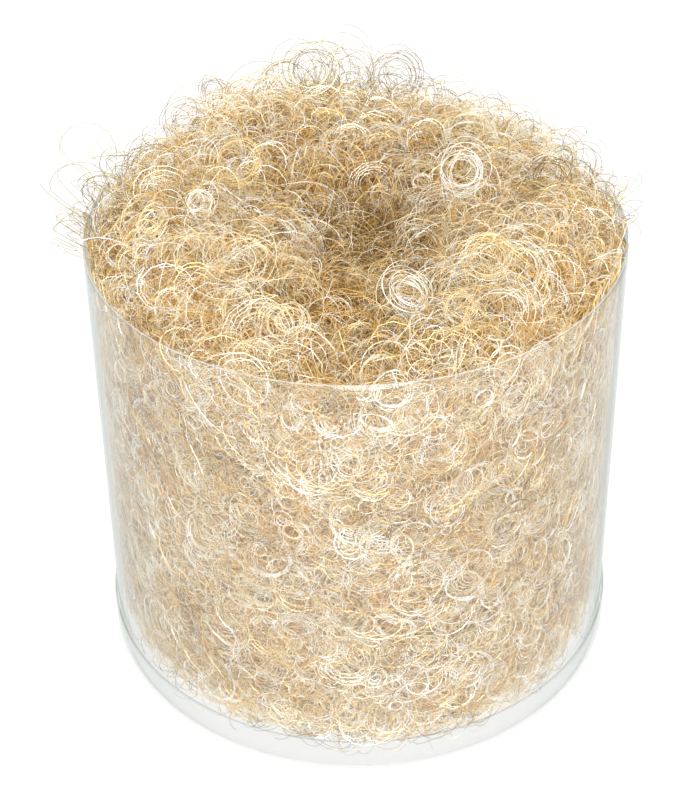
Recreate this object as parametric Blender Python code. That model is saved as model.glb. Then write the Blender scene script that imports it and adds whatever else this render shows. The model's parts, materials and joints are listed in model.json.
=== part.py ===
"""Tip cleaning brass: a clear tub with a slip-over base cap, filled with curled brass wire.

The origin is the middle of the base cap's underside. +Z is up, -Y is the front, and +X is the
right side, where the tube's rolled sheet laps over itself. All sizes are in metres.
"""

import math

import bmesh
import bpy
from mathutils import Vector

MM = 0.001

# The rolled sheet of the tube.
TUBE_OUTER_RADIUS = 50.0 * MM
TUB_HEIGHT = 90.0 * MM
SHEET = 0.35 * MM
FACETS = 72

# The lap seam, where the sheet's inner edge steps in and runs behind its outer edge.
SEAM_AZIMUTH = math.radians(-2.5)
LAP_ANGLE = math.radians(6.0)
JOGGLE_ANGLE = math.radians(4.0)
LAP_GAP = 0.30 * MM
ADHESIVE = 0.12 * MM

# The base cap, a shallow cup that the tube stands in.
CAP_GAP = 0.25 * MM
CAP_WALL = 0.30 * MM
CAP_FLOOR = 0.40 * MM
SKIRT_HEIGHT = 7.5 * MM
SKIRT_LIP = 0.15 * MM
CAP_FILLET = 0.80 * MM
STANDING_GAP = 0.30 * MM

# The brass wool: a core with a rounded lower corner, and a ring of tufts round the tip pit.
CORE_RADIUS = 47.4 * MM
CORE_TOP = 78.0 * MM
CORE_BOTTOM = 0.8 * MM
CORE_FOOT_RADIUS = 37.5 * MM
CORE_CORNER_HEIGHT = 14.0 * MM
CORE_FACETS = 48
TUFT_GAP = 0.4 * MM
TUFT_SLIT = math.radians(1.0)
GROOVE_DEPTH = 2.5 * MM
PIT = Vector((2.0 * MM, -9.0 * MM))
PIT_RADIUS = 8.5 * MM
TUFT_NAMES = ("right", "back_right", "back", "back_left", "left", "front_left", "front", "front_right")

# Height of the wool over the tube's rim: a low edge at the wall, which rises to the crown over the
# shoulder. On the crown stand mounds and hollows: x, y, height, width in mm.
EDGE = -2.0 * MM
SHOULDER = 13.0 * MM
CROWN = 6.0 * MM
MOUNDS = (
    (-18, 30, 2.0, 12),
    (-25, 34, 5.0, 9),
    (-32, 4, 3.0, 12),
    (-24, -20, 3.5, 11),
    (-2, 28, 2.5, 12),
    (24, 24, 1.5, 11),
    (32, 0, 2.0, 12),
    (26, -22, 2.0, 10),
    (-2, -36, -3.0, 9),
    (2, -9, -7.0, 10),
    (-2, 8, -4.0, 8),
)

# Single coils of wire that lie or stand on the wool.
CURL_WIRE = 0.20 * MM
CURL_PITCH = 0.60 * MM
CURL_CLEARANCE = 0.40 * MM
POINTS_PER_TURN = 14
# name: x and y of the middle in mm, diameter in mm, turns, tilt from level and its azimuth in degrees
CURLS = {
    "curl_back_high": (-7.6, 33.5, 10.6, 1.6, 75, 270),
    "curl_back_right_high": (9.2, 38.8, 7.5, 1.5, 65, 265),
    "curl_back_left": (-27.5, 38, 6.4, 1.4, 80, 240),
    "curl_right_bright": (19.5, 2.9, 7.7, 2.2, 45, 265),
    "curl_right_ring": (31.3, -2.3, 4.9, 2.2, 40, 275),
    "curl_right_arc": (35.6, 0.8, 9.1, 1.2, 30, 225),
    "curl_golden": (22.3, -27.3, 8.5, 2.4, 40, 270),
    "curl_front_white": (8.8, -33.0, 7.6, 1.5, 35, 300),
    "curl_front_small": (17.3, -37.9, 6.3, 2.2, 35, 270),
    "curl_front_left": (-11.7, -40.4, 8.3, 1.4, 35, 260),
    "curl_left_arc": (-20.8, -26.6, 12.3, 1.3, 15, 290),
    "curl_left_white": (-27.0, -8.8, 5.3, 2.0, 40, 260),
    "curl_left_back": (-20.9, 5.8, 8.2, 1.5, 40, 250),
    "curl_left_edge": (-36.0, -14.3, 7.0, 1.6, 40, 250),
}

# Loose loops in the gap under the wool's rounded lower corner, by azimuth in degrees.
LOOP_AZIMUTHS = (196, 226, 247, 268, 291, 318)
LOOP_DIAMETER = 6.6 * MM
LOOP_TURNS = 1.4
LOOP_STANDOFF = 1.7 * MM


def clear_scene():
    for old in list(bpy.data.objects):
        bpy.data.objects.remove(old)


def material(name, colour, roughness, metallic, alpha=1.0):
    made = bpy.data.materials.new(name)
    made.use_nodes = True
    shader = made.node_tree.nodes["Principled BSDF"]
    shader.inputs["Base Color"].default_value = (*colour, 1.0)
    shader.inputs["Roughness"].default_value = roughness
    shader.inputs["Metallic"].default_value = metallic
    shader.inputs["Alpha"].default_value = alpha
    made.diffuse_color = (*colour, alpha)
    return made


def clear_plastic(name):
    return material(name, (0.90, 0.93, 0.92), 0.12, 0.0, 0.30)


def brass(name, colour=(0.72, 0.50, 0.20)):
    return material(name, colour, 0.35, 1.0)


def add_object(name, bm, mat):
    """Turn a bmesh into a smooth-shaded object with one material."""
    bmesh.ops.recalc_face_normals(bm, faces=bm.faces)
    mesh = bpy.data.meshes.new(name)
    bm.to_mesh(mesh)
    bm.free()
    mesh.materials.append(mat)
    mesh.shade_smooth()
    mesh.set_sharp_from_angle(angle=math.radians(35))
    made = bpy.data.objects.new(name, mesh)
    bpy.context.scene.collection.objects.link(made)
    return made


def polar(radius, azimuth, z=0.0):
    return Vector((radius * math.cos(azimuth), radius * math.sin(azimuth), z))


def spread(first, last, steps):
    return [first + (last - first) * i / steps for i in range(steps + 1)]


def smooth_step(t):
    t = min(max(t, 0.0), 1.0)
    return t * t * (3 - 2 * t)


def ring_faces(bm, rings, closed_ring=True):
    """Join neighbouring rings of vertices with quads."""
    for lower, upper in zip(rings, rings[1:]):
        count = len(lower)
        for i in range(count if closed_ring else count - 1):
            j = (i + 1) % count
            bm.faces.new((lower[i], lower[j], upper[j], upper[i]))


def fan(bm, centre, ring):
    """Close a ring of vertices with triangles to one middle vertex."""
    for a, b in zip(ring, ring[1:] + ring[:1]):
        bm.faces.new((a, b, centre))


def turned(name, profile, facets, mat):
    """A solid of revolution from radius and height pairs that start and end on the axis."""
    bm = bmesh.new()
    low = bm.verts.new((0, 0, profile[0][1]))
    high = bm.verts.new((0, 0, profile[-1][1]))
    angles = [2 * math.pi * i / facets for i in range(facets)]
    rings = [[bm.verts.new(polar(r, a, z)) for a in angles] for r, z in profile[1:-1]]
    ring_faces(bm, rings)
    fan(bm, low, rings[0])
    fan(bm, high, rings[-1])
    return add_object(name, bm, mat)


def quarter_arc(centre_r, centre_z, radius, first, last, steps=4):
    """Points of an arc in the radius and height plane, between two angles in degrees."""
    angles = [math.radians(a) for a in spread(first, last, steps)]
    return [(centre_r + radius * math.cos(a), centre_z + radius * math.sin(a)) for a in angles]


def build_base_cap():
    inner = TUBE_OUTER_RADIUS + CAP_GAP
    outer = inner + CAP_WALL
    inner_fillet = CAP_FILLET - CAP_WALL
    profile = [(0.0, 0.0)]
    profile += quarter_arc(outer - CAP_FILLET, CAP_FILLET, CAP_FILLET, -90, 0)
    profile += [
        (outer, SKIRT_HEIGHT - 4 * SKIRT_LIP),
        (outer + SKIRT_LIP, SKIRT_HEIGHT - 2 * SKIRT_LIP),
        (outer + SKIRT_LIP, SKIRT_HEIGHT),
        (inner, SKIRT_HEIGHT),
    ]
    profile += quarter_arc(inner - inner_fillet, CAP_FLOOR + inner_fillet, inner_fillet, 0, -90)
    profile += [(0.0, CAP_FLOOR)]
    return turned("base_cap", profile, FACETS, clear_plastic("cap_plastic"))


def sheet_strip(name, stations, thickness, low, high, mat):
    """A curved strip that stands on edge. Stations are outer radius and azimuth pairs along it."""
    bm = bmesh.new()
    sections = []
    for radius, azimuth in stations:
        corners = ((radius, low), (radius, high), (radius - thickness, high), (radius - thickness, low))
        sections.append([bm.verts.new(polar(r, azimuth, z)) for r, z in corners])
    ring_faces(bm, sections)
    bm.faces.new(sections[0])
    bm.faces.new(sections[-1])
    return add_object(name, bm, mat)


def build_clear_tube():
    """The sheet starts as the seam's outer flap, goes once round, steps in and ends behind it."""
    start = SEAM_AZIMUTH - LAP_ANGLE / 2
    step_in = SHEET + LAP_GAP
    azimuths = spread(start, start + LAP_ANGLE, 4)
    azimuths += spread(start + LAP_ANGLE, start + 2 * math.pi - JOGGLE_ANGLE, FACETS)[1:]
    azimuths += spread(start + 2 * math.pi - JOGGLE_ANGLE, start + 2 * math.pi, 4)[1:]
    azimuths += spread(start + 2 * math.pi, start + 2 * math.pi + LAP_ANGLE, 4)[1:]
    stations = []
    for azimuth in azimuths:
        along_joggle = 1 + (azimuth - start - 2 * math.pi) / JOGGLE_ANGLE
        stations.append((TUBE_OUTER_RADIUS - step_in * smooth_step(along_joggle), azimuth))
    foot = CAP_FLOOR + STANDING_GAP
    return sheet_strip("clear_tube", stations, SHEET, foot, TUB_HEIGHT, clear_plastic("tube_plastic"))


def build_seam_adhesive():
    """The glue line between the seam's two flaps, all the way up."""
    margin = LAP_ANGLE / 8
    half = LAP_ANGLE / 2 - margin
    radius = TUBE_OUTER_RADIUS - SHEET - (LAP_GAP - ADHESIVE) / 2
    stations = [(radius, a) for a in spread(SEAM_AZIMUTH - half, SEAM_AZIMUTH + half, 4)]
    mat = material("seam_adhesive", (0.80, 0.82, 0.78), 0.3, 0.0, 0.5)
    foot = CAP_FLOOR + STANDING_GAP + 1.0 * MM
    return sheet_strip("seam_adhesive", stations, ADHESIVE, foot, TUB_HEIGHT - 0.6 * MM, mat)


def crown_height(x, y):
    """Height of the wool's top at a place: a shoulder at the wall, then mounds and hollows."""
    height = CROWN
    for mound_x, mound_y, rise, width in MOUNDS:
        distance = math.hypot(x - mound_x * MM, y - mound_y * MM) / (width * MM)
        height += rise * MM * math.exp(-0.5 * distance**2)
    inside = min(max((CORE_RADIUS - math.hypot(x, y)) / SHOULDER, 0.0), 1.0)
    return TUB_HEIGHT + EDGE + height * math.sin(math.pi / 2 * inside)


def core_lump(azimuth, z):
    """A gentle unevenness of the core's side, always inwards."""
    wave = math.sin(5 * azimuth + 90 * z) + math.sin(9 * azimuth - 160 * z)
    return 0.2 * MM * (wave - 2)


def build_wool_core():
    corner_width = CORE_RADIUS - CORE_FOOT_RADIUS
    corner_height = CORE_CORNER_HEIGHT - CORE_BOTTOM
    profile = []
    for share in spread(0.0, 1.0, 3):
        radius = CORE_FOOT_RADIUS + corner_width * math.sin(math.pi / 2 * share)
        profile.append((radius, CORE_BOTTOM + corner_height * share))
    profile += [(CORE_RADIUS, z) for z in spread(CORE_CORNER_HEIGHT, CORE_TOP, 6)[1:]]
    bm = bmesh.new()
    azimuths = [2 * math.pi * i / CORE_FACETS for i in range(CORE_FACETS)]
    rings = [[bm.verts.new(polar(r + core_lump(a, z), a, z)) for a in azimuths] for r, z in profile]
    ring_faces(bm, rings)
    fan(bm, bm.verts.new((0, 0, CORE_BOTTOM)), rings[0])
    fan(bm, bm.verts.new((0, 0, CORE_TOP)), rings[-1])
    return add_object("wool_core", bm, brass("core_brass", (0.55, 0.36, 0.13)))


def reach_from_pit(azimuth):
    """Distance from the pit's axis to the wool's outer radius, in one direction."""
    direction = Vector((math.cos(azimuth), math.sin(azimuth)))
    along = PIT.dot(direction)
    return -along + math.sqrt(CORE_RADIUS**2 - PIT.length_squared + along**2)


def build_tuft(name, middle_azimuth):
    """One lock of the crown: a wedge between the pit and the tube's wall with a crowned top."""
    across, outwards = 6, 6
    half = math.pi / len(TUFT_NAMES) - TUFT_SLIT
    bottom = CORE_TOP + TUFT_GAP
    bm = bmesh.new()
    low_rows, high_rows = [], []
    for i in range(across + 1):
        side = 2 * i / across - 1
        azimuth = middle_azimuth + side * half
        direction = Vector((math.cos(azimuth), math.sin(azimuth)))
        low, high = [], []
        for j in range(outwards + 1):
            distance = PIT_RADIUS + (reach_from_pit(azimuth) - PIT_RADIUS) * j / outwards
            place = PIT + direction * distance
            top = crown_height(place.x, place.y) - GROOVE_DEPTH * side**4
            low.append(bm.verts.new((place.x, place.y, bottom)))
            high.append(bm.verts.new((place.x, place.y, top)))
        low_rows.append(low)
        high_rows.append(high)
    ring_faces(bm, low_rows, closed_ring=False)
    ring_faces(bm, high_rows, closed_ring=False)
    ring_faces(bm, [low_rows[0], high_rows[0]], closed_ring=False)
    ring_faces(bm, [low_rows[-1], high_rows[-1]], closed_ring=False)
    ring_faces(bm, [[row[0] for row in low_rows], [row[0] for row in high_rows]], closed_ring=False)
    ring_faces(bm, [[row[-1] for row in low_rows], [row[-1] for row in high_rows]], closed_ring=False)
    return add_object("tuft_" + name, bm, brass("tuft_brass_" + name))


def wire_coil(name, centre, normal, diameter, turns):
    """An open coil of wire: a short helix about a normal through its centre."""
    normal = normal.normalized()
    first = normal.orthogonal().normalized()
    second = normal.cross(first)
    steps = round(turns * POINTS_PER_TURN)
    curve = bpy.data.curves.new(name, "CURVE")
    curve.dimensions = "3D"
    curve.fill_mode = "FULL"
    curve.bevel_depth = CURL_WIRE
    curve.bevel_resolution = 0
    curve.use_fill_caps = True
    curve.resolution_u = 1
    curve.render_resolution_u = 0
    spline = curve.splines.new("POLY")
    spline.points.add(steps)
    for i, point in enumerate(spline.points):
        turned_by = 2 * math.pi * turns * i / steps
        rise = CURL_PITCH * turns * (i / steps - 0.5)
        offset = first * math.cos(turned_by) + second * math.sin(turned_by)
        point.co = (*(centre + offset * diameter / 2 + normal * rise), 1.0)
    curve.materials.append(brass(name + "_brass", (0.83, 0.66, 0.34)))
    made = bpy.data.objects.new(name, curve)
    bpy.context.scene.collection.objects.link(made)
    return made


def highest_under(x, y, reach):
    """The crown's greatest height within a distance of a place."""
    heights = [crown_height(x, y)]
    for distance in (0.5 * reach, reach):
        for azimuth in spread(0.0, 2 * math.pi, 12):
            offset = polar(distance, azimuth)
            heights.append(crown_height(x + offset.x, y + offset.y))
    return max(heights)


def build_curl(name, x_mm, y_mm, diameter_mm, turns, tilt, tilt_azimuth):
    """A coil on the wool, raised until its lowest point clears the crown under it."""
    x, y, radius = x_mm * MM, y_mm * MM, diameter_mm * MM / 2
    tilt, tilt_azimuth = math.radians(tilt), math.radians(tilt_azimuth)
    normal = polar(math.sin(tilt), tilt_azimuth, math.cos(tilt))
    drop = radius * math.sin(tilt) + CURL_PITCH * turns / 2 + CURL_WIRE
    footprint = radius + CURL_PITCH * turns / 2
    z = max(highest_under(x, y, footprint), TUB_HEIGHT) + CURL_CLEARANCE + drop
    return wire_coil(name, Vector((x, y, z)), normal, 2 * radius, turns)


def build_loop(number, azimuth):
    """A loose loop that lies along the slope of the wool's lower corner."""
    run = CORE_RADIUS - CORE_FOOT_RADIUS
    rise = CORE_CORNER_HEIGHT - CORE_BOTTOM
    slope = math.hypot(run, rise)
    outwards, down = rise / slope, -run / slope
    share = 0.38
    radius = CORE_FOOT_RADIUS + run * math.sin(math.pi / 2 * share) + LOOP_STANDOFF * outwards
    z = CORE_BOTTOM + rise * share + LOOP_STANDOFF * down
    normal = polar(outwards, azimuth, down)
    return wire_coil(f"floor_loop_{number}", polar(radius, azimuth, z), normal, LOOP_DIAMETER, LOOP_TURNS)


def main():
    clear_scene()
    build_base_cap()
    build_clear_tube()
    build_seam_adhesive()
    build_wool_core()
    for index, name in enumerate(TUFT_NAMES):
        build_tuft(name, 2 * math.pi * index / len(TUFT_NAMES))
    for name, shape in CURLS.items():
        build_curl(name, *shape)
    for index, azimuth in enumerate(LOOP_AZIMUTHS):
        build_loop(index + 1, math.radians(azimuth))


main()
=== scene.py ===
"""Looks of the tip cleaning brass: curled brass wire in a clear tub, on a pale floor.

The tub's and the wool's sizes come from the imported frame. The few that it doesn't hold, such as how
thick the sheet is, are named below. The tangle is made strand by strand: each strand is a short open
coil, strands that lie together share their middle and their plane, and the wall, the floor and the rim
of the tub hold them in as they hold real wire.
"""

import json
import math

import bpy
import numpy as np
from mathutils import Matrix, Vector


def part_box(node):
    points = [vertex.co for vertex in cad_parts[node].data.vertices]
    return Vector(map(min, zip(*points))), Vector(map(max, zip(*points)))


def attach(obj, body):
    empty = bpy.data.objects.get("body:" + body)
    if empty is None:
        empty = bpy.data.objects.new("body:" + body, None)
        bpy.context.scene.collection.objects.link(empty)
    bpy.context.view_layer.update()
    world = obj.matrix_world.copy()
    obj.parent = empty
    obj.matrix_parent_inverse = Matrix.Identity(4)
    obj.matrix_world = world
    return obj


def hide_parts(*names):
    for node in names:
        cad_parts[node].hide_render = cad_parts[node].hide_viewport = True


MM = 0.001
SQUARE_CMS_IN_SQUARE_METRE = 1e4
SEED = 20

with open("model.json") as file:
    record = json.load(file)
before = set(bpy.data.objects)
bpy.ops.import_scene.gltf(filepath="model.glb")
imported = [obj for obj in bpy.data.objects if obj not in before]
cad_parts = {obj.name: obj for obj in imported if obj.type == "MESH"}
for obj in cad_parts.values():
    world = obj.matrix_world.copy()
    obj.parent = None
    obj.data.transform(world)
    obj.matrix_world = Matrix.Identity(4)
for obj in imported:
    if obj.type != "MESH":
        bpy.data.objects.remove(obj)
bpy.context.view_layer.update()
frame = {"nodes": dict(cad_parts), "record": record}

# ---- sizes, read from the frame -------------------------------------------------------------

tube_low, tube_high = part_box("clear_tube")
cap_low, cap_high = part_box("base_cap")
seam_low, seam_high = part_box("seam_adhesive")
core_low, core_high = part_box("wool_core")
pit_low, pit_high = frame["record"]["physics"]["openings"][0]["box_m"]

TUB_RADIUS = tube_high.x
RIM = tube_high.z
SHEET = 0.35 * MM
SEAM_AZIMUTH = math.atan2(seam_low.y + seam_high.y, seam_low.x + seam_high.x)
LAP_ANGLE = math.radians(6.0)
JOGGLE_ANGLE = math.radians(4.0)
LAP_STEP = 0.65 * MM
ADHESIVE = 0.12 * MM

CAP_LIP_RADIUS = cap_high.x
SKIRT_TOP = cap_high.z
SKIRT_LIP = 0.15 * MM
CAP_WALL = 0.30 * MM
CAP_FLOOR = tube_low.z - 0.30 * MM
CAP_FILLET = 0.80 * MM

CORE_RADIUS = core_high.x
WOOL_RADIUS = TUB_RADIUS - SHEET - LAP_STEP - 0.10 * MM
PIT = np.array((pit_low[0] + pit_high[0], pit_low[1] + pit_high[1])) / 2
TUFTS = ("right", "back_right", "back", "back_left", "left", "front_left", "front", "front_right")

# Height of the wool over the rim: a low edge at the wall, which rises to the crown over the shoulder.
# On the crown stand mounds and hollows: x, y, height, width in mm.
EDGE = -2.0 * MM
SHOULDER = 13.0 * MM
CROWN = 6.0 * MM
MOUNDS = (
    (-18, 30, 2.0, 12),
    (-25, 34, 5.0, 9),
    (-32, 4, 3.0, 12),
    (-24, -20, 3.5, 11),
    (-2, 28, 2.5, 12),
    (24, 24, 1.5, 11),
    (32, 0, 2.0, 12),
    (26, -22, 2.0, 10),
    (-2, -36, -3.0, 9),
    (2, -9, -7.0, 10),
    (-2, 8, -4.0, 8),
)
HEART_SINK = 3.6 * MM
HOLLOW_WIDTH, HOLLOW_LENGTH = 9.0 * MM, 19.0 * MM


def crown_height(x, y):
    """Height of the wool's top, for arrays of places."""
    height = np.full(np.shape(x), CROWN)
    for mound_x, mound_y, rise, width in MOUNDS:
        distance = np.hypot(x - mound_x * MM, y - mound_y * MM) / (width * MM)
        height = height + rise * MM * np.exp(-0.5 * distance**2)
    inside = np.clip((CORE_RADIUS - np.hypot(x, y)) / SHOULDER, 0.0, 1.0)
    return RIM + EDGE + height * np.sin(math.pi / 2 * inside)


def hollow_shade_share(x, y):
    """How much the hollow's painted shade, a band from front to back over the crown, covers arrays of
    places.
    """
    across = (x - PIT[0]) / HOLLOW_WIDTH
    along = (y - PIT[1]) / HOLLOW_LENGTH
    return np.exp(-0.5 * (across**2 + along**2))


def foot_radius(z):
    """The wool's radius near the floor, where its lower corner is rounded."""
    corner, foot = 14.0 * MM, 37.5 * MM
    share = np.clip(z / corner, 0.0, 1.0)
    return foot + (WOOL_RADIUS - foot) * np.sin(share * math.pi / 2)


# ---- strands --------------------------------------------------------------------------------


# How far a coil may be from round, and how its wire waves: how many waves lie over each other, and how
# often each repeats per turn.
OVALNESS = 0.10
WAVES = 2
WAVE_RATES = (0.4, 1.4)


def unit(vectors):
    return vectors / np.linalg.norm(vectors, axis=-1, keepdims=True)


def coils(rng, centres, normals, radii, turns, steps, shape):
    """Open coils as an array of points: strands, then points along each, then x, y and z."""
    count = len(centres)
    normals = unit(normals)
    first = unit(np.cross(normals, unit(rng.normal(size=(count, 3)))))
    second = np.cross(normals, first)
    along = np.linspace(0.0, 1.0, steps + 1)[None, :]
    middle = along - 0.5
    phase = 2 * math.pi * (turns[:, None] * along + rng.random((count, 1)))
    reach = radii[:, None] * (1 + rng.normal(0, shape["growth"], (count, 1)) * 2 * middle)
    oval = 1 + rng.normal(0, OVALNESS, (count, 1))
    points = centres[:, None, :] + (reach * oval * np.cos(phase))[..., None] * first[:, None, :]
    points = points + (reach / oval * np.sin(phase))[..., None] * second[:, None, :]
    rise = rng.normal(0, shape["pitch"], (count, 1)) * turns[:, None] * middle
    points = points + rise[..., None] * normals[:, None, :]
    points = points + middle[..., None] * rng.normal(0, shape["drift"], (count, 1, 3))
    for _ in range(WAVES):
        direction = rng.normal(0, shape["wobble"], (count, 1, 3))
        rate = rng.uniform(*WAVE_RATES, (count, 1)) * turns[:, None]
        wave = np.sin(2 * math.pi * (rate * along + rng.random((count, 1))))
        points = points + wave[..., None] * direction
    return points, normals


# How strands are held in: how gently the wall and the floor stop them, how far over the rim they are
# before they may spread outwards, and how fast they may then.
WALL_SOFTNESS = 0.35 * MM
FLOOR_SOFTNESS = 0.3 * MM
FLOOR_CLEARANCE = 0.4 * MM
RIM_CLEARANCE = 0.7 * MM
SPREAD_OVER_RIM = 1.3


def soft_limit(value, limit, softness):
    """Values well under the limit stay, and the rest ease up to it."""
    return limit - softness * np.logaddexp(0.0, (limit - value) / softness)


def hold_in_tub(points, limits):
    """Press strands against the inside of the wall and the floor. Clear of the rim they may spread."""
    radius = np.hypot(points[..., 0], points[..., 1])
    over_rim = np.maximum(points[..., 2] - RIM - RIM_CLEARANCE, 0.0)
    held = soft_limit(radius, limits[:, None] + SPREAD_OVER_RIM * over_rim, WALL_SOFTNESS)
    scale = held / np.maximum(radius, 1e-9)
    points[..., 0] *= scale
    points[..., 1] *= scale
    points[..., 2] = -soft_limit(-points[..., 2], -(CAP_FLOOR + FLOOR_CLEARANCE), FLOOR_SOFTNESS)
    return points


def tubes(points, normals, wire, sides=3):
    """Closed tubes round polylines: vertex positions, side faces and end faces. One side of each tube
    faces the way its coil does."""
    count, steps = points.shape[:2]
    along = unit(np.gradient(points, axis=1))
    reference = np.broadcast_to(normals[:, None, :], points.shape)
    across = unit(reference - (reference * along).sum(-1, keepdims=True) * along)
    up = np.cross(along, across)
    angle = 2 * math.pi * (np.arange(sides) + 0.5) / sides
    ring = np.cos(angle)[None, None, :, None] * across[:, :, None, :]
    ring = ring + np.sin(angle)[None, None, :, None] * up[:, :, None, :]
    vertices = points[:, :, None, :] + wire[:, None, None, None] * ring
    index = np.arange(count * steps * sides).reshape(count, steps, sides)
    turned = np.roll(index, -1, axis=2)
    quads = np.stack((index[:, :-1], turned[:, :-1], turned[:, 1:], index[:, 1:]), axis=-1)
    caps = np.concatenate((index[:, 0, ::-1], index[:, -1, :]))
    return vertices.reshape(-1, 3), quads.reshape(-1, 4), caps


class Bundle:
    """Collects strands that become one mesh."""

    def __init__(self):
        self.vertices, self.quads, self.caps, self.tints = [], [], [], []
        self.total = 0

    def add(self, points, normals, wire, tints):
        vertices, quads, caps = tubes(points, normals, wire)
        self.vertices.append(vertices)
        self.quads.append(quads + self.total)
        self.caps.append(caps + self.total)
        self.tints.append(np.repeat(tints, len(vertices) // len(tints)))
        self.total += len(vertices)

    def build(self, name, material):
        quads = np.concatenate(self.quads)
        caps = np.concatenate(self.caps)
        vertices = np.concatenate(self.vertices)
        made = mesh_piece(name, vertices, (quads, caps), material, "wool", smooth=False)
        tint = made.data.attributes.new("tint", "FLOAT", "POINT")
        tint.data.foreach_set("value", np.concatenate(self.tints).astype(np.float32))
        return made


def mesh_piece(name, vertices, faces, material, body, smooth=True):
    """A piece from vertex positions and arrays of faces, riding on a body."""
    loops = np.concatenate([group.ravel() for group in faces]).astype(np.int32)
    sizes = np.concatenate([np.full(len(group), group.shape[1]) for group in faces])
    starts = np.concatenate(([0], np.cumsum(sizes)[:-1])).astype(np.int32)
    mesh = bpy.data.meshes.new(name)
    mesh.vertices.add(len(vertices))
    mesh.vertices.foreach_set("co", vertices.astype(np.float32).ravel())
    mesh.loops.add(len(loops))
    mesh.loops.foreach_set("vertex_index", loops)
    mesh.polygons.add(len(starts))
    mesh.polygons.foreach_set("loop_start", starts)
    mesh.update(calc_edges=True)
    if smooth:
        mesh.shade_smooth()
    else:
        mesh.shade_flat()
    mesh.materials.append(material)
    made = bpy.data.objects.new(name, mesh)
    bpy.context.scene.collection.objects.link(made)
    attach(made, body)
    return made


# How far a strand strays from a plain ring: growth and wobble over its length, rise per turn, drift.
TANGLED = {"growth": 0.16, "pitch": 0.5 * MM, "drift": 1.5 * MM, "wobble": 0.15 * MM}
NEAT = {"growth": 0.11, "pitch": 0.25 * MM, "drift": 0.8 * MM, "wobble": 0.08 * MM}
STRAY = {"growth": 0.10, "pitch": 0.8 * MM, "drift": 1.8 * MM, "wobble": 0.12 * MM}
SPIRAL = {"growth": 0.30, "pitch": 0.15 * MM, "drift": 0.6 * MM, "wobble": 0.06 * MM}

# Kinds of strand. nests: how many groups per square centimetre, on the crown and at the wall.
# members: strands in each group. depth: how far the group's middle is under the surface. lean: how
# far it faces outwards. Sizes are in mm.
# tint: the range of each kind's tints. The deep filler's darker range is painted shade, and the
# near-white tints of the kinds nearest the surface are painted highlight.
KINDS = {
    "filler": dict(nests=(30.0, 20.0), members=2, spread=2.0, loosen=0.7, depth=(2.0, 1.4), lean=0.9,
                   radius=2.9, vary=0.35, turns=(0.8, 1.6), steps=12, wire=0.12, tint=(0.05, 0.34),
                   shape=TANGLED),
    "nest": dict(nests=(8.5, 6.5), members=3, spread=1.0, loosen=0.35, depth=(1.1, 0.9), lean=1.3,
                 radius=2.9, vary=0.25, turns=(1.0, 2.4), steps=22, wire=0.105, tint=(0.1, 0.92),
                 shape=NEAT),
    "spiral": dict(nests=(1.8, 3.6), members=1, spread=0.5, loosen=0.2, depth=(0.4, 0.5), lean=1.9,
                   radius=2.8, vary=0.25, turns=(3.0, 5.5), steps=56, wire=0.10, tint=(0.5, 1.0),
                   shape=SPIRAL),
    "ring": dict(nests=(23.0, 19.0), members=1, spread=0.5, loosen=0.25, depth=(0.4, 0.8), lean=1.5,
                 radius=2.6, vary=0.38, turns=(0.8, 2.0), steps=22, wire=0.11, tint=(0.25, 1.0),
                 shape=NEAT),
    "fuzz": dict(nests=(34.0, 12.0), members=2, spread=1.2, loosen=0.6, depth=(0.2, 0.8), lean=0.6,
                 radius=2.4, vary=0.40, turns=(0.3, 0.8), steps=7, wire=0.085, tint=(0.15, 1.0),
                 shape=TANGLED),
    "sweep": dict(nests=(2.5, 0.8), members=2, spread=1.2, loosen=0.5, depth=(0.7, 0.8), lean=1.2,
                  radius=5.5, vary=0.25, turns=(0.3, 0.7), steps=12, wire=0.10, tint=(0.1, 1.0),
                  shape=TANGLED),
}

# The crown's strands face a little to the front, and the wall presses its own flat.
FRONT_LEAN = np.array((0.0, -0.7, 0.0))
WALL_FLATTEN = 2.2

# How strands differ. Sizes vary from group to group, and both size and wire stay within these shares of
# their kind's. Tints crowd towards the ends of their range and none is under the least one, apart from
# the few strands that are dark with tarnish.
GROUP_VARIETY = 0.25
SIZE_SHARES = (0.4, 1.9)
WIRE_SHARES = (0.8, 1.2)
TINT_CROWDING = 0.65
LEAST_TINT = 0.05
DARK_SHARE = 0.015


def fill(rng, kind, bundles, centres, normals, bundle_of, limits, flatten=1.0, shift=0.0):
    """Add one kind of strand to bundles, given the middles of its groups and where they face. Flatten
    turns coils to lie along the surface, and shift makes them lighter as painted light, and where it is
    negative darker as painted shade."""
    members = kind["members"]
    groups = len(centres)
    count = groups * members
    group = np.repeat(np.arange(groups), members)
    facing = flatten * kind["lean"] * normals + unit(rng.normal(size=(groups, 3)))
    facing = unit(facing)[group] + rng.normal(0, kind["loosen"] / flatten, (count, 3))
    places = centres[group] + rng.normal(0, kind["spread"] * MM, (count, 3))
    base = np.exp(rng.normal(0, GROUP_VARIETY, groups))[group]
    sizes = np.clip(base * np.exp(rng.normal(0, kind["vary"], count)), *SIZE_SHARES)
    radii = kind["radius"] * MM * sizes
    turns = rng.uniform(*kind["turns"], count)
    points, planes = coils(rng, places, facing, radii, turns, kind["steps"], kind["shape"])
    points = hold_in_tub(points, limits[group])
    wire = kind["wire"] / 2 * MM * rng.uniform(*WIRE_SHARES, count)
    least, most = kind["tint"]
    tints = least + (most - least) * rng.beta(TINT_CROWDING, TINT_CROWDING, count)
    # Shift adds painted light, and where negative painted shade, to the tints.
    tints = tints + np.broadcast_to(shift, groups)[group]
    tints = np.where(rng.random(count) < DARK_SHARE, 0.0, np.clip(tints, LEAST_TINT, 1.0))
    owner = bundle_of[group]
    for index, bundle in enumerate(bundles):
        here = owner == index
        if here.any():
            bundle.add(points[here], planes[here], wire[here], tints[here])
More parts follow.
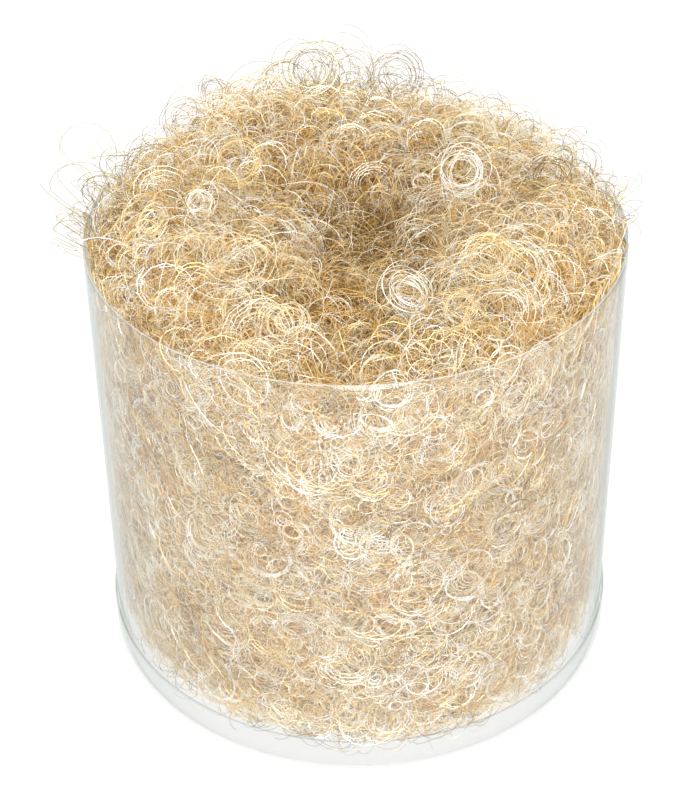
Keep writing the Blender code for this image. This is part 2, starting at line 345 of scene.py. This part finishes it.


# ---- materials ------------------------------------------------------------------------------

# Bright wire's colour, from a tarnished strand over gold to near white; the near-white end is painted
# highlight.
WIRE_STOPS = (
    (0.0, (0.20, 0.14, 0.07)),
    (0.1, (0.63, 0.36, 0.08)),
    (0.35, (0.82, 0.62, 0.28)),
    (0.6, (0.90, 0.82, 0.60)),
    (0.8, (0.95, 0.93, 0.83)),
    (1.0, (0.97, 0.97, 0.94)),
)

# Loose wire that stands against the light, from dark olive to pale gold: a darker copy of the wire's
# brass, painted shade.
SHADED_STRAY_STOPS = (
    (0.0, (0.16, 0.12, 0.06)),
    (0.5, (0.47, 0.37, 0.18)),
    (1.0, (0.80, 0.67, 0.38)),
)
TARNISH_SCALE = 260.0
TARNISH_SHIFT = 0.5

# The heart's colour between its lines, darker and more orange there as painted shade of the gaps between
# deep strands, and on them, and in the middle of the hollow, where it is painted shade. Its lines: how
# fine and how wide each set is.
HEART_STOPS = (
    (0.0, (0.70, 0.38, 0.10)),
    (0.6, (0.84, 0.57, 0.22)),
    (1.0, (0.93, 0.78, 0.46)),
)
HOLLOW_SHADE_COLOUR = (0.58, 0.27, 0.05, 1.0)
HOLLOW_SHADE_FADE = 1.8
HEART_LINES = ((190.0, 0.05), (270.0, 0.06), (350.0, 0.07))
HEART_RELIEF = 0.3 * MM

# Clear plastic, by how slanted it is: what each piece lets through, and the tint of what it mirrors.
SHEET_STOPS = (
    (0.0, (0.998, 1.0, 0.998)),
    (0.5, (0.99, 0.99, 0.99)),
    (0.75, (0.955, 0.96, 0.96)),
    (1.0, (0.88, 0.90, 0.88)),
)
CAP_STOPS = (
    (0.0, (0.998, 1.0, 0.998)),
    (0.5, (0.993, 0.995, 0.995)),
    (1.0, (0.97, 0.98, 0.975)),
)
GLUE_STOPS = (
    (0.0, (0.998, 1.0, 0.998)),
    (0.5, (0.99, 0.99, 0.99)),
    (1.0, (0.90, 0.91, 0.88)),
)
MIRROR_STOPS = ((0.0, (0.96, 0.98, 0.97)), (0.5, (0.84, 0.86, 0.85)), (1.0, (0.78, 0.80, 0.78)))
MIRROR_FACING = 0.035
MIRROR_GRAZING = 0.9
GLOSS_SCALE = 90.0
GLOSS_ROUGHNESS = (0.05, 0.16)
EDGE_BAND = 0.12 * MM
HAZE_COLOUR = (0.93, 0.94, 0.93, 1.0)


def new_material(name):
    made = bpy.data.materials.new(name)
    made.use_nodes = True
    made.node_tree.nodes.clear()
    return made, made.node_tree.nodes, made.node_tree.links


def ramp(nodes, stops):
    made = nodes.new("ShaderNodeValToRGB")
    elements = made.color_ramp.elements
    while len(elements) < len(stops):
        elements.new(0.5)
    for element, (place, colour) in zip(elements, stops):
        element.position = place
        element.color = (*colour, 1.0)
    return made


def maths(nodes, links, operation, first, second):
    """A Math node on two inputs, each a socket or a number."""
    made = nodes.new("ShaderNodeMath")
    made.operation = operation
    for socket, value in zip(made.inputs, (first, second)):
        if isinstance(value, (int, float)):
            socket.default_value = value
        else:
            links.new(value, socket)
    return made.outputs["Value"]


def noise(nodes, links, scale, detail=2.0, distortion=0.0):
    place = nodes.new("ShaderNodeTexCoord")
    made = nodes.new("ShaderNodeTexNoise")
    made.inputs["Scale"].default_value = scale
    made.inputs["Detail"].default_value = detail
    made.inputs["Distortion"].default_value = distortion
    links.new(place.outputs["Object"], made.inputs["Vector"])
    return made.outputs["Fac"]


def map_range(nodes, links, value, low, high, from_max=1.0):
    made = nodes.new("ShaderNodeMapRange")
    made.inputs["From Max"].default_value = from_max
    made.inputs["To Min"].default_value = low
    made.inputs["To Max"].default_value = high
    links.new(value, made.inputs["Value"])
    return made.outputs["Result"]


def wire_material(name, stops, roughness, metallic):
    """Brass wire: each strand has its own tint, with faint tarnish and scuffs along it."""
    made, nodes, links = new_material(name)
    out = nodes.new("ShaderNodeOutputMaterial")
    shader = nodes.new("ShaderNodeBsdfPrincipled")
    tint = nodes.new("ShaderNodeAttribute")
    tint.attribute_name = "tint"
    tarnish = noise(nodes, links, TARNISH_SCALE)
    centred = maths(nodes, links, "SUBTRACT", tarnish, 0.5)
    shift = maths(nodes, links, "MULTIPLY", centred, TARNISH_SHIFT)
    colour = ramp(nodes, stops)
    links.new(maths(nodes, links, "ADD", tint.outputs["Fac"], shift), colour.inputs["Fac"])
    links.new(colour.outputs["Color"], shader.inputs["Base Color"])
    links.new(map_range(nodes, links, tarnish, *roughness), shader.inputs["Roughness"])
    shader.inputs["Metallic"].default_value = metallic
    links.new(shader.outputs["BSDF"], out.inputs["Surface"])
    return made


def heart_material():
    """Gold crossed by thin curly lines, like strands too deep to be made one by one, darker and more
    orange between the lines as painted shade of the gaps, and darker still in the hollow as painted
    shade."""
    made, nodes, links = new_material("heart_brass")
    out = nodes.new("ShaderNodeOutputMaterial")
    shader = nodes.new("ShaderNodeBsdfPrincipled")
    lines = None
    for scale, width in HEART_LINES:
        wave = noise(nodes, links, scale, detail=0.0, distortion=0.8)
        ridge = maths(nodes, links, "ABSOLUTE", maths(nodes, links, "SUBTRACT", wave, 0.5), 0.0)
        line = map_range(nodes, links, ridge, 1.0, 0.0, width)
        lines = line if lines is None else maths(nodes, links, "MAXIMUM", lines, line)
    colour = ramp(nodes, HEART_STOPS)
    links.new(lines, colour.inputs["Fac"])
    place = nodes.new("ShaderNodeTexCoord")
    across = nodes.new("ShaderNodeVectorMath")
    across.operation = "MULTIPLY_ADD"
    slimness = HOLLOW_WIDTH / HOLLOW_LENGTH
    across.inputs[1].default_value = (1.0, slimness, 0.0)
    across.inputs[2].default_value = (-PIT[0], -PIT[1] * slimness, 0.0)
    links.new(place.outputs["Object"], across.inputs[0])
    distance = nodes.new("ShaderNodeVectorMath")
    distance.operation = "LENGTH"
    links.new(across.outputs["Vector"], distance.inputs[0])
    # Painted shade: towards the hollow's middle the heart's colour turns to the hollow's shade colour.
    hollow = nodes.new("ShaderNodeMix")
    hollow.data_type = "RGBA"
    hollow.inputs["A"].default_value = HOLLOW_SHADE_COLOUR
    reach = HOLLOW_SHADE_FADE * HOLLOW_WIDTH
    outwards = map_range(nodes, links, distance.outputs["Value"], 0.0, 1.0, reach)
    links.new(outwards, hollow.inputs["Factor"])
    links.new(colour.outputs["Color"], hollow.inputs["B"])
    links.new(hollow.outputs["Result"], shader.inputs["Base Color"])
    shader.inputs["Metallic"].default_value = 0.0
    shader.inputs["Roughness"].default_value = 0.5
    bump = nodes.new("ShaderNodeBump")
    bump.inputs["Distance"].default_value = HEART_RELIEF
    links.new(lines, bump.inputs["Height"])
    links.new(bump.outputs["Normal"], shader.inputs["Normal"])
    links.new(shader.outputs["BSDF"], out.inputs["Surface"])
    return made


def clear_material(name, haze_share, stops, edge_height, edge_haze, edge_tint):
    """Thin clear sheet: see-through, glossy at a slant, faintly hazy, and grey where seen edge on.
    Above edge_height, at its cut or rolled edge, it is cloudier and more tinted: the tint is painted
    light on the tube's rim and painted shade on the cap's lip."""
    made, nodes, links = new_material(name)
    out = nodes.new("ShaderNodeOutputMaterial")
    weight = nodes.new("ShaderNodeLayerWeight")
    weight.inputs["Blend"].default_value = 0.5
    slant = weight.outputs["Facing"]
    grey = ramp(nodes, stops)
    links.new(slant, grey.inputs["Fac"])
    place = nodes.new("ShaderNodeTexCoord")
    split = nodes.new("ShaderNodeSeparateXYZ")
    links.new(place.outputs["Object"], split.inputs["Vector"])
    at_edge = maths(nodes, links, "GREATER_THAN", split.outputs["Z"], edge_height)
    tinted = nodes.new("ShaderNodeMix")
    tinted.data_type = "RGBA"
    tinted.inputs["B"].default_value = (*edge_tint, 1.0)
    links.new(at_edge, tinted.inputs["Factor"])
    links.new(grey.outputs["Color"], tinted.inputs["A"])
    through = nodes.new("ShaderNodeBsdfTransparent")
    links.new(tinted.outputs["Result"], through.inputs["Color"])
    gloss = nodes.new("ShaderNodeBsdfGlossy")
    mirrored = ramp(nodes, MIRROR_STOPS)
    links.new(slant, mirrored.inputs["Fac"])
    links.new(mirrored.outputs["Color"], gloss.inputs["Color"])
    scuffs = noise(nodes, links, GLOSS_SCALE)
    links.new(map_range(nodes, links, scuffs, *GLOSS_ROUGHNESS), gloss.inputs["Roughness"])
    steep = maths(nodes, links, "POWER", slant, 5.0)
    grazing = maths(nodes, links, "MULTIPLY", steep, MIRROR_GRAZING)
    share = maths(nodes, links, "ADD", grazing, MIRROR_FACING)
    mirror = nodes.new("ShaderNodeMixShader")
    links.new(share, mirror.inputs["Fac"])
    links.new(through.outputs["BSDF"], mirror.inputs[1])
    links.new(gloss.outputs["BSDF"], mirror.inputs[2])
    haze = nodes.new("ShaderNodeBsdfDiffuse")
    haze.inputs["Color"].default_value = HAZE_COLOUR
    veil = nodes.new("ShaderNodeMixShader")
    links.new(map_range(nodes, links, at_edge, haze_share, edge_haze), veil.inputs["Fac"])
    links.new(mirror.outputs["Shader"], veil.inputs[1])
    links.new(haze.outputs["BSDF"], veil.inputs[2])
    links.new(veil.outputs["Shader"], out.inputs["Surface"])
    return made


# ---- wool -----------------------------------------------------------------------------------


# Painted light and shade: the crown's strands are tinted a little lighter than the wall's, for the lit
# top, and darker in the hollow, for its shade.
CROWN_PAINTED_LIGHT = 0.06
HOLLOW_PAINTED_SHADE = 0.34
WALL_SLACK = 0.45 * MM


def crown_normals(x, y):
    step = 0.5 * MM
    slope_x = (crown_height(x + step, y) - crown_height(x - step, y)) / (2 * step)
    slope_y = (crown_height(x, y + step) - crown_height(x, y - step)) / (2 * step)
    return unit(np.stack((-slope_x, -slope_y, np.ones_like(x)), axis=-1))


def wall_limits(rng, count):
    """How far out each group of strands may reach: most just inside the wall, some a little deeper."""
    return WOOL_RADIUS - np.abs(rng.normal(0, WALL_SLACK, count))


def group_depth(rng, kind, count):
    least, more = kind["depth"]
    return (least + rng.exponential(more, count)) * MM


def build_crown(rng, material):
    """The domed top: one bundle of strands for each tuft."""
    bundles = [Bundle() for _ in TUFTS]
    area = math.pi * WOOL_RADIUS**2 * SQUARE_CMS_IN_SQUARE_METRE
    for kind in KINDS.values():
        count = int(kind["nests"][0] * area)
        radius = WOOL_RADIUS * np.sqrt(rng.random(count))
        azimuth = rng.uniform(0, 2 * math.pi, count)
        x, y = radius * np.cos(azimuth), radius * np.sin(azimuth)
        normals = crown_normals(x, y)
        surface = np.stack((x, y, crown_height(x, y)), axis=-1)
        centres = surface - normals * group_depth(rng, kind, count)[:, None]
        sector = np.arctan2(y - PIT[1], x - PIT[0]) / (2 * math.pi) * len(TUFTS)
        owner = np.round(sector).astype(int) % len(TUFTS)
        limits = wall_limits(rng, count)
        # Painted light over the crown and painted shade in the hollow, added to the strands' tints.
        shift = CROWN_PAINTED_LIGHT - HOLLOW_PAINTED_SHADE * hollow_shade_share(x, y)
        fill(rng, kind, bundles, centres, unit(normals + FRONT_LEAN), owner, limits, shift=shift)
    for name, bundle in zip(TUFTS, bundles):
        made = bundle.build("tuft_wire_" + name, material)
        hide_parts("tuft_" + name)


def build_side(rng, material):
    """The wool behind the clear wall, down to its rounded lower corner, in upright bundles."""
    panels = 20
    thin_foot = 0.25
    full_height = 8 * MM
    bundles = [Bundle() for _ in range(panels)]
    over_floor, under_edge = 1.5 * MM, 2.5 * MM
    low = CAP_FLOOR + over_floor
    high = RIM + EDGE - under_edge
    area = 2 * math.pi * WOOL_RADIUS * (high - low) * SQUARE_CMS_IN_SQUARE_METRE
    for kind in KINDS.values():
        z = rng.uniform(low, high, int(kind["nests"][1] * area))
        z = z[rng.random(len(z)) < thin_foot + z / full_height]
        count = len(z)
        azimuth = rng.uniform(0, 2 * math.pi, count)
        outward = np.stack((np.cos(azimuth), np.sin(azimuth), np.zeros(count)), axis=-1)
        radius = foot_radius(z) - group_depth(rng, kind, count)
        centres = outward * radius[:, None] + z[:, None] * np.array((0.0, 0.0, 1.0))
        owner = (azimuth / (2 * math.pi) * panels).astype(int)
        limits = wall_limits(rng, count)
        fill(rng, kind, bundles, centres, outward, owner, limits, flatten=WALL_FLATTEN)
    for index, bundle in enumerate(bundles):
        made = bundle.build(f"side_wire_{index + 1}", material)


def build_heart():
    """The dense inside of the tangle, which shows only as gold between the strands."""
    around, levels, circles = 160, 60, 40
    unevenness = 0.5 * MM
    drawn_in_most = 5.0 * MM
    top_share = 0.98
    foot_z = CAP_FLOOR + 4.0 * MM
    azimuth = 2 * math.pi * np.arange(around) / around
    circle = np.stack((np.cos(azimuth), np.sin(azimuth)), axis=-1)
    rings = []
    for z in np.linspace(foot_z, RIM + EDGE - HEART_SINK, levels):
        bump = unevenness * (np.sin(7 * azimuth + 210 * z) + np.sin(11 * azimuth - 330 * z) - 1)
        drawn_in = drawn_in_most * math.exp(-z / drawn_in_most)
        radius = foot_radius(z) - HEART_SINK - drawn_in + bump
        rings.append(np.column_stack((circle * radius[:, None], np.full(around, z))))
    for share in np.linspace(1.0, 0.0, circles)[:-1]:
        flat = circle * (WOOL_RADIUS - HEART_SINK) * share * top_share
        rings.append(np.column_stack((flat, crown_height(flat[:, 0], flat[:, 1]) - HEART_SINK)))
    foot = np.array([[0.0, 0.0, rings[0][0, 2]]])
    peak = np.array([[0.0, 0.0, float(crown_height(0.0, 0.0)) - HEART_SINK]])
    vertices = np.concatenate((*rings, foot, peak))
    faces = closed_faces(len(rings), around)
    made = mesh_piece("wool_heart", vertices, faces, heart_material(), "wool")
    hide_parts("wool_core")


# Which percentile of a CAD coil's vertices lies on its outer turns.
OUTER_TURN = 60


def coil_facts(node):
    """Middle, normal and radius of a CAD coil, from the spread of its vertices."""
    places = np.array([vertex.co for vertex in frame["nodes"][node].data.vertices])
    middle = (places.min(0) + places.max(0)) / 2
    normal = np.linalg.svd(places - places.mean(0), full_matrices=False)[2][2]
    flat = places - middle
    flat = flat - (flat @ normal)[:, None] * normal
    return middle, normal, np.percentile(np.linalg.norm(flat, axis=1), OUTER_TURN)


# How light each standing coil is, from dark olive to near white: the near-white coils are painted
# highlight, and the dark ones painted shade. Under zero, the coil is in the loose wire's darker brass,
# as the floor's loops are. Coils that aren't named here are pale gold.
CURL_TINTS = {
    "curl_back_high": -0.45,
    "curl_back_right_high": -0.5,
    "curl_back_left": -0.45,
    "curl_right_ring": -0.15,
    "curl_right_arc": -0.05,
    "curl_golden": 0.45,
    "curl_left_back": 0.40,
    "curl_right_bright": 0.9,
    "curl_front_white": 0.9,
    "curl_left_white": 0.75,
}
PALE_GOLD = 0.5
FLOOR_LOOP_TINT = -0.3

# A standing coil and a loop on the floor are a few strands each, which differ by so much.
CURL_STRANDS, FLOOR_LOOP_STRANDS = 5, 2
CURL_STEPS = 60
CURL_SCATTER = 0.45 * MM
CURL_TILT = 0.20
CURL_SIZE_SHARES = (0.55, 1.08)
CURL_TURNS = (0.8, 2.4)
CURL_TINT_SPREAD = 0.15
CURL_WIRE_RADIUS = 0.055 * MM


def build_curls(rng, bright, shaded_brass):
    """The single coils that stand out of the tangle: a few loose turns of fine wire."""
    for node in sorted(frame["nodes"]):
        if not node.startswith(("curl_", "floor_loop_")):
            continue
        loose_on_floor = node.startswith("floor_loop_")
        middle, normal, radius = coil_facts(node)
        count = FLOOR_LOOP_STRANDS if loose_on_floor else CURL_STRANDS
        centres = middle + rng.normal(0, CURL_SCATTER, (count, 3))
        normals = normal + rng.normal(0, CURL_TILT, (count, 3))
        radii = radius * rng.uniform(*CURL_SIZE_SHARES, count)
        turns = rng.uniform(*CURL_TURNS, count)
        points, planes = coils(rng, centres, normals, radii, turns, CURL_STEPS, SPIRAL)
        points = hold_in_tub(points, np.full(count, WOOL_RADIUS))
        level = FLOOR_LOOP_TINT if loose_on_floor else CURL_TINTS.get(node, PALE_GOLD)
        tints = abs(level) + rng.uniform(-CURL_TINT_SPREAD, CURL_TINT_SPREAD, count)
        tints = np.clip(tints, 0.0, 1.0)
        bundle = Bundle()
        bundle.add(points, planes, np.full(count, CURL_WIRE_RADIUS), tints)
        made = bundle.build(node + "_wire", shaded_brass if level < 0 else bright)
        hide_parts(node)


# Loose loops. Lengths are in mm: a loop's radius and its wire's radius, and at the wool's foot how high
# over the floor its middle is and how far out of the wool.
FOOT_LOOPS = dict(count=320, height=(0.8, 7.0), out=(-2.0, 3.5), radius=(1.8, 4.2), turns=(0.8, 2.0),
                  wire=(0.04, 0.06), tint=(0.0, 0.8))
STRAY_LOOPS = dict(radius=(2.2, 4.8), turns=(0.6, 2.0), wire=(0.045, 0.06), tint=(0.1, 0.9))
LOOP_STEPS = 30

# Clusters of stray loops on the rim: middle and width of the cluster's azimuth in degrees, how many
# loops, how far up they reach, how far out of the tub's radius they lie, least and most, and their size.
# Heights and distances are in a loop's own radii, and the size multiplies its radius.
STRAY_CLUSTERS = (
    (97, 8, 46, 1.9, (-2.7, 0.0), 1.25),
    (78, 8, 36, 1.6, (-2.7, 0.0), 1.15),
    (118, 9, 30, 1.5, (-2.7, 0.0), 1.1),
    (148, 12, 26, 1.2, (-2.0, 0.2), 1.2),
    (166, 6, 14, 1.6, (-1.0, 0.6), 1.2),
    (172, 9, 16, 0.8, (-2.4, -0.4), 1.1),
    (185, 5, 12, 1.3, (0.0, 0.9), 0.95),
    (50, 10, 30, 1.0, (-2.7, 0.0), 1.0),
    (25, 12, 22, 1.0, (-2.7, 0.2), 1.0),
    (3, 9, 12, 0.9, (-2.0, 0.5), 1.0),
    (-90, 60, 14, 0.4, (-2.7, 0.0), 1.0),
)


def build_foot(rng, material):
    """Loose olive loops round the foot of the wool, where it thins out against the clear wall."""
    count = FOOT_LOOPS["count"]
    z = CAP_FLOOR + rng.uniform(*FOOT_LOOPS["height"], count) * MM
    azimuth = rng.uniform(0, 2 * math.pi, count)
    outward = np.stack((np.cos(azimuth), np.sin(azimuth), np.zeros(count)), axis=-1)
    centres = outward * (foot_radius(z) + rng.uniform(*FOOT_LOOPS["out"], count) * MM)[:, None]
    centres[:, 2] = z
    facing = outward + (0, 0, 0.5) + rng.normal(0, 0.4, (count, 3))
    radii = rng.uniform(*FOOT_LOOPS["radius"], count) * MM
    turns = rng.uniform(*FOOT_LOOPS["turns"], count)
    points, planes = coils(rng, centres, facing, radii, turns, LOOP_STEPS, STRAY)
    points = hold_in_tub(points, wall_limits(rng, count))
    bundle = Bundle()
    wire = rng.uniform(*FOOT_LOOPS["wire"], count) * MM
    bundle.add(points, planes, wire, rng.uniform(*FOOT_LOOPS["tint"], count))
    made = bundle.build("foot_wire", material)


def build_strays(rng, material):
    """Loose loops that stand on the wool's edge and lean out over the rim, most at the back."""
    bundle = Bundle()
    for middle, width, count, rise, reach, size in STRAY_CLUSTERS:
        azimuth = np.radians(rng.normal(middle, width, count))
        radii = rng.uniform(*STRAY_LOOPS["radius"], count) * size * MM
        radius = TUB_RADIUS + rng.uniform(*reach, count) * radii
        x, y = radius * np.cos(azimuth), radius * np.sin(azimuth)
        facing = np.array((0.0, 1.0, -0.3)) + rng.normal(0, 0.35, (count, 3))
        foot = np.maximum(crown_height(x, y), RIM - 1 * MM)
        lift = 0.4 * np.maximum(radius - WOOL_RADIUS, 0.0)
        z = foot + rng.uniform(0.0, rise, count) * radii + lift
        turns = rng.uniform(*STRAY_LOOPS["turns"], count)
        centres = np.stack((x, y, z), axis=-1)
        points, planes = coils(rng, centres, facing, radii, turns, LOOP_STEPS, STRAY)
        points = hold_in_tub(points, np.full(count, WOOL_RADIUS))
        wire = rng.uniform(*STRAY_LOOPS["wire"], count) * MM
        bundle.add(points, planes, wire, rng.uniform(*STRAY_LOOPS["tint"], count))
    made = bundle.build("stray_wire", material)


# ---- tub ------------------------------------------------------------------------------------


# How much of its thickness a sheet's edge is rounded by.
EDGE_SOFTENING = 0.3


def polar(radius, azimuth, z):
    return (radius * math.cos(azimuth), radius * math.sin(azimuth), z)


def spread(first, last, steps):
    return [first + (last - first) * i / steps for i in range(steps + 1)]


def smooth_step(share):
    share = min(max(share, 0.0), 1.0)
    return share * share * (3 - 2 * share)


def grid_faces(rows, columns):
    """Quads between the points of a grid whose rows are closed rings."""
    index = np.arange(rows * columns).reshape(rows, columns)
    turned = np.roll(index, -1, axis=1)
    return np.stack((index[:-1], turned[:-1], turned[1:], index[1:]), axis=-1).reshape(-1, 4)


def closed_faces(rows, columns):
    """A grid's quads, with triangles that close its first and last rings. They meet at the two middle
    points that follow the grid's own."""
    total = rows * columns
    first = np.arange(columns)
    last = first + total - columns
    under = np.column_stack((np.roll(first, -1), first, np.full(columns, total)))
    over = np.column_stack((last, np.roll(last, -1), np.full(columns, total + 1)))
    return grid_faces(rows, columns), under, over


def sheet_wave(azimuth, z):
    """The slight unevenness of a rolled sheet."""
    along = math.sin(3 * azimuth + 1.0) * math.sin(20 * z + 0.5) + 0.6 * math.sin(8 * azimuth + 35 * z)
    return 0.04 * MM * along


def strip(name, stations, thickness, low, high, rows, material, wave=0.0):
    """A strip that stands on edge, with softened edges. Stations are outer radius and azimuth."""
    soften = thickness * EDGE_SOFTENING
    heights = [low + (high - low) * i / rows for i in range(rows + 1)]
    outline = [(0.0, z) for z in heights]
    outline += [(-soften, high + soften), (soften - thickness, high + soften)]
    outline += [(-thickness, z) for z in reversed(heights)]
    outline += [(soften - thickness, low - soften), (-soften, low - soften)]
    vertices = []
    for radius, azimuth in stations:
        for inset, z in outline:
            vertices.append(polar(radius + inset + wave * sheet_wave(azimuth, z), azimuth, z))
    around = len(outline)
    quads = grid_faces(len(stations), around)
    last = (len(stations) - 1) * around
    ends = np.array([list(range(around))[::-1], list(range(last, last + around))])
    return mesh_piece(name, np.array(vertices), (quads, ends), material, "tub")


def build_tube():
    """The rolled sheet, from the seam's outer flap once round to the inner flap behind it."""
    start = SEAM_AZIMUTH - LAP_ANGLE / 2
    full = start + 2 * math.pi
    long_steps, short_steps = 220, 6
    azimuths = spread(start, full - JOGGLE_ANGLE, long_steps)
    azimuths += spread(full - JOGGLE_ANGLE, full, short_steps)[1:]
    azimuths += spread(full, full + LAP_ANGLE, short_steps)[1:]
    stations = []
    for azimuth in azimuths:
        step_in = LAP_STEP * smooth_step(1 + (azimuth - full) / JOGGLE_ANGLE)
        stations.append((TUB_RADIUS - step_in, azimuth))
    soften = SHEET * EDGE_SOFTENING
    # The rim's cream edge tint is painted light, for the wool's light seen in the sheet's cut edge.
    material = clear_material("tube_clear", haze_share=0.02, stops=SHEET_STOPS,
                              edge_height=RIM - EDGE_BAND, edge_haze=0.3, edge_tint=(0.88, 0.85, 0.76))
    low, high = tube_low.z + soften, RIM - soften
    made = strip("tube_sheet", stations, SHEET, low, high, rows=30, material=material, wave=1.0)
    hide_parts("clear_tube")


def build_adhesive():
    half = LAP_ANGLE * 3 / 8
    radius = TUB_RADIUS - SHEET - (LAP_STEP - SHEET - ADHESIVE) / 2
    stations = [(radius, azimuth) for azimuth in spread(SEAM_AZIMUTH - half, SEAM_AZIMUTH + half, 8)]
    material = clear_material("adhesive_clear", haze_share=0.25, stops=GLUE_STOPS,
                              edge_height=RIM, edge_haze=0.3, edge_tint=(0.9, 0.9, 0.85))
    low, high = seam_low.z, seam_high.z
    made = strip("adhesive_strip", stations, ADHESIVE, low, high, rows=4, material=material)
    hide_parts("seam_adhesive")


def arc(centre_r, centre_z, radius, first, last, steps=6):
    angles = [math.radians(a) for a in spread(first, last, steps)]
    return [(centre_r + radius * math.cos(a), centre_z + radius * math.sin(a)) for a in angles]


def build_cap():
    """The slip-over base cap: flat floor, small corner radius, short skirt with a rolled lip."""
    outer = CAP_LIP_RADIUS - SKIRT_LIP
    inner = outer - CAP_WALL
    fillet = CAP_FILLET - CAP_WALL
    lip = SKIRT_LIP + CAP_WALL
    floor_rings = (0.25, 0.5, 0.75, 0.95)
    profile = [(outer * share, 0.0) for share in floor_rings]
    profile += arc(outer - CAP_FILLET, CAP_FILLET, CAP_FILLET, -90, 0)
    profile += [(outer, SKIRT_TOP * 0.5), (outer, SKIRT_TOP - 2.2 * lip)]
    profile += arc(CAP_LIP_RADIUS - lip / 2, SKIRT_TOP - lip / 2, lip / 2, -50, 180, 10)
    profile += [(inner, SKIRT_TOP * 0.5)]
    profile += arc(inner - fillet, CAP_FLOOR + fillet, fillet, 0, -90)
    profile += [(outer * share, CAP_FLOOR) for share in reversed(floor_rings)]
    around = 240
    azimuths = [2 * math.pi * i / around for i in range(around)]
    vertices = [polar(r, a, z) for r, z in profile for a in azimuths]
    vertices += [(0.0, 0.0, 0.0), (0.0, 0.0, CAP_FLOOR)]
    faces = closed_faces(len(profile), around)
    # The lip's darker grey edge tint is painted shade, for the dark line along the top of the skirt.
    material = clear_material("cap_clear", haze_share=0.01, stops=CAP_STOPS,
                              edge_height=SKIRT_TOP - EDGE_BAND, edge_haze=0.05,
                              edge_tint=(0.74, 0.75, 0.75))
    made = mesh_piece("cap_shell", np.array(vertices), faces, material, "base")
    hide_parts("base_cap")


# ---- stage ----------------------------------------------------------------------------------

FLOOR_REACH = 3.0
FLOOR_GREY = (0.20, 0.20, 0.20, 1.0)
FLOOR_GLOW = 0.85
WORLD_STRENGTH = 1.25

# Soft round lights: name, place, width and power. All of them face the rim's middle.
LIGHTS = (
    ("top", (0.0, 0.25, 1.0), 0.90, 0.6),
    ("front", (0.1, -1.1, 0.30), 0.60, 10.5),
    ("back", (-0.3, 1.1, 0.30), 0.80, 4.5),
)

# The camera's tilt and roll in degrees, its place from the tub's middle in tub radii (forward, right
# and up) and its lens in mm.
CAMERA_PITCH = 36.44
CAMERA_ROLL = -1.02
CAMERA_PLACE = (-7.898, -0.0666, 0.0849)
CAMERA_LENS = 90.06


def build_stage():
    """A pale floor that glows like a light table, under an even white sky."""
    mesh = bpy.data.meshes.new("floor")
    signs = ((-1, -1), (1, -1), (1, 1), (-1, 1))
    corners = [(x * FLOOR_REACH, y * FLOOR_REACH, 0) for x, y in signs]
    mesh.from_pydata(corners, [], [(0, 1, 2, 3)])
    made, nodes, links = new_material("floor_white")
    out = nodes.new("ShaderNodeOutputMaterial")
    shader = nodes.new("ShaderNodeBsdfPrincipled")
    shader.inputs["Base Color"].default_value = FLOOR_GREY
    shader.inputs["Specular IOR Level"].default_value = 0.0
    shader.inputs["Emission Color"].default_value = (1.0, 1.0, 1.0, 1.0)
    shader.inputs["Emission Strength"].default_value = FLOOR_GLOW
    links.new(shader.outputs["BSDF"], out.inputs["Surface"])
    mesh.materials.append(made)
    floor = bpy.data.objects.new("floor", mesh)
    bpy.context.scene.collection.objects.link(floor)
    world = bpy.data.worlds.new("studio")
    bpy.context.scene.world = world
    world.use_nodes = True
    background = world.node_tree.nodes["Background"]
    background.inputs["Color"].default_value = (1.0, 1.0, 1.0, 1.0)
    background.inputs["Strength"].default_value = WORLD_STRENGTH


def add_light(name, place, size, power):
    data = bpy.data.lights.new(name, "AREA")
    data.shape = "DISK"
    data.size = size
    data.energy = power
    made = bpy.data.objects.new(name, data)
    made.location = place
    made.rotation_euler = (Vector((0, 0, RIM)) - Vector(place)).to_track_quat("-Z", "Y").to_euler()
    bpy.context.scene.collection.objects.link(made)


def build_camera():
    """Looks down on the tub from the front, from about eight tub radii away."""
    pitch, roll = math.radians(CAMERA_PITCH), math.radians(CAMERA_ROLL)
    forward = Vector((0, math.cos(pitch), -math.sin(pitch)))
    right = Vector((1, 0, 0))
    up = right.cross(forward)
    along, across, over = CAMERA_PLACE
    place = Vector((0, 0, RIM / 2)) + (along * forward + across * right + over * up) * TUB_RADIUS
    rolled_right = right * math.cos(roll) + up * math.sin(roll)
    rolled_up = up * math.cos(roll) - right * math.sin(roll)
    data = bpy.data.cameras.new("camera")
    data.lens = CAMERA_LENS
    data.clip_start = 0.01
    made = bpy.data.objects.new("camera", data)
    rotation = Matrix((rolled_right, rolled_up, -forward)).transposed()
    made.matrix_world = Matrix.Translation(place) @ rotation.to_4x4()
    bpy.context.scene.collection.objects.link(made)
    bpy.context.scene.camera = made


wire_brass = wire_material("wire_brass", WIRE_STOPS, roughness=(0.33, 0.50), metallic=0.55)
# The loose wire's brass is darker than the bright wire's, as painted shade.
shaded_stray_brass = wire_material("shaded_stray_brass", SHADED_STRAY_STOPS, roughness=(0.25, 0.40), metallic=1.0)
build_camera()
build_heart()
build_crown(np.random.default_rng((SEED, 1)), wire_brass)
build_side(np.random.default_rng((SEED, 2)), wire_brass)
build_curls(np.random.default_rng((SEED, 3)), wire_brass, shaded_stray_brass)
build_strays(np.random.default_rng((SEED, 4)), shaded_stray_brass)
build_foot(np.random.default_rng((SEED, 5)), shaded_stray_brass)
build_tube()
build_adhesive()
build_cap()
build_stage()
for light in LIGHTS:
    add_light(*light)
bpy.context.scene.view_settings.view_transform = "Standard"
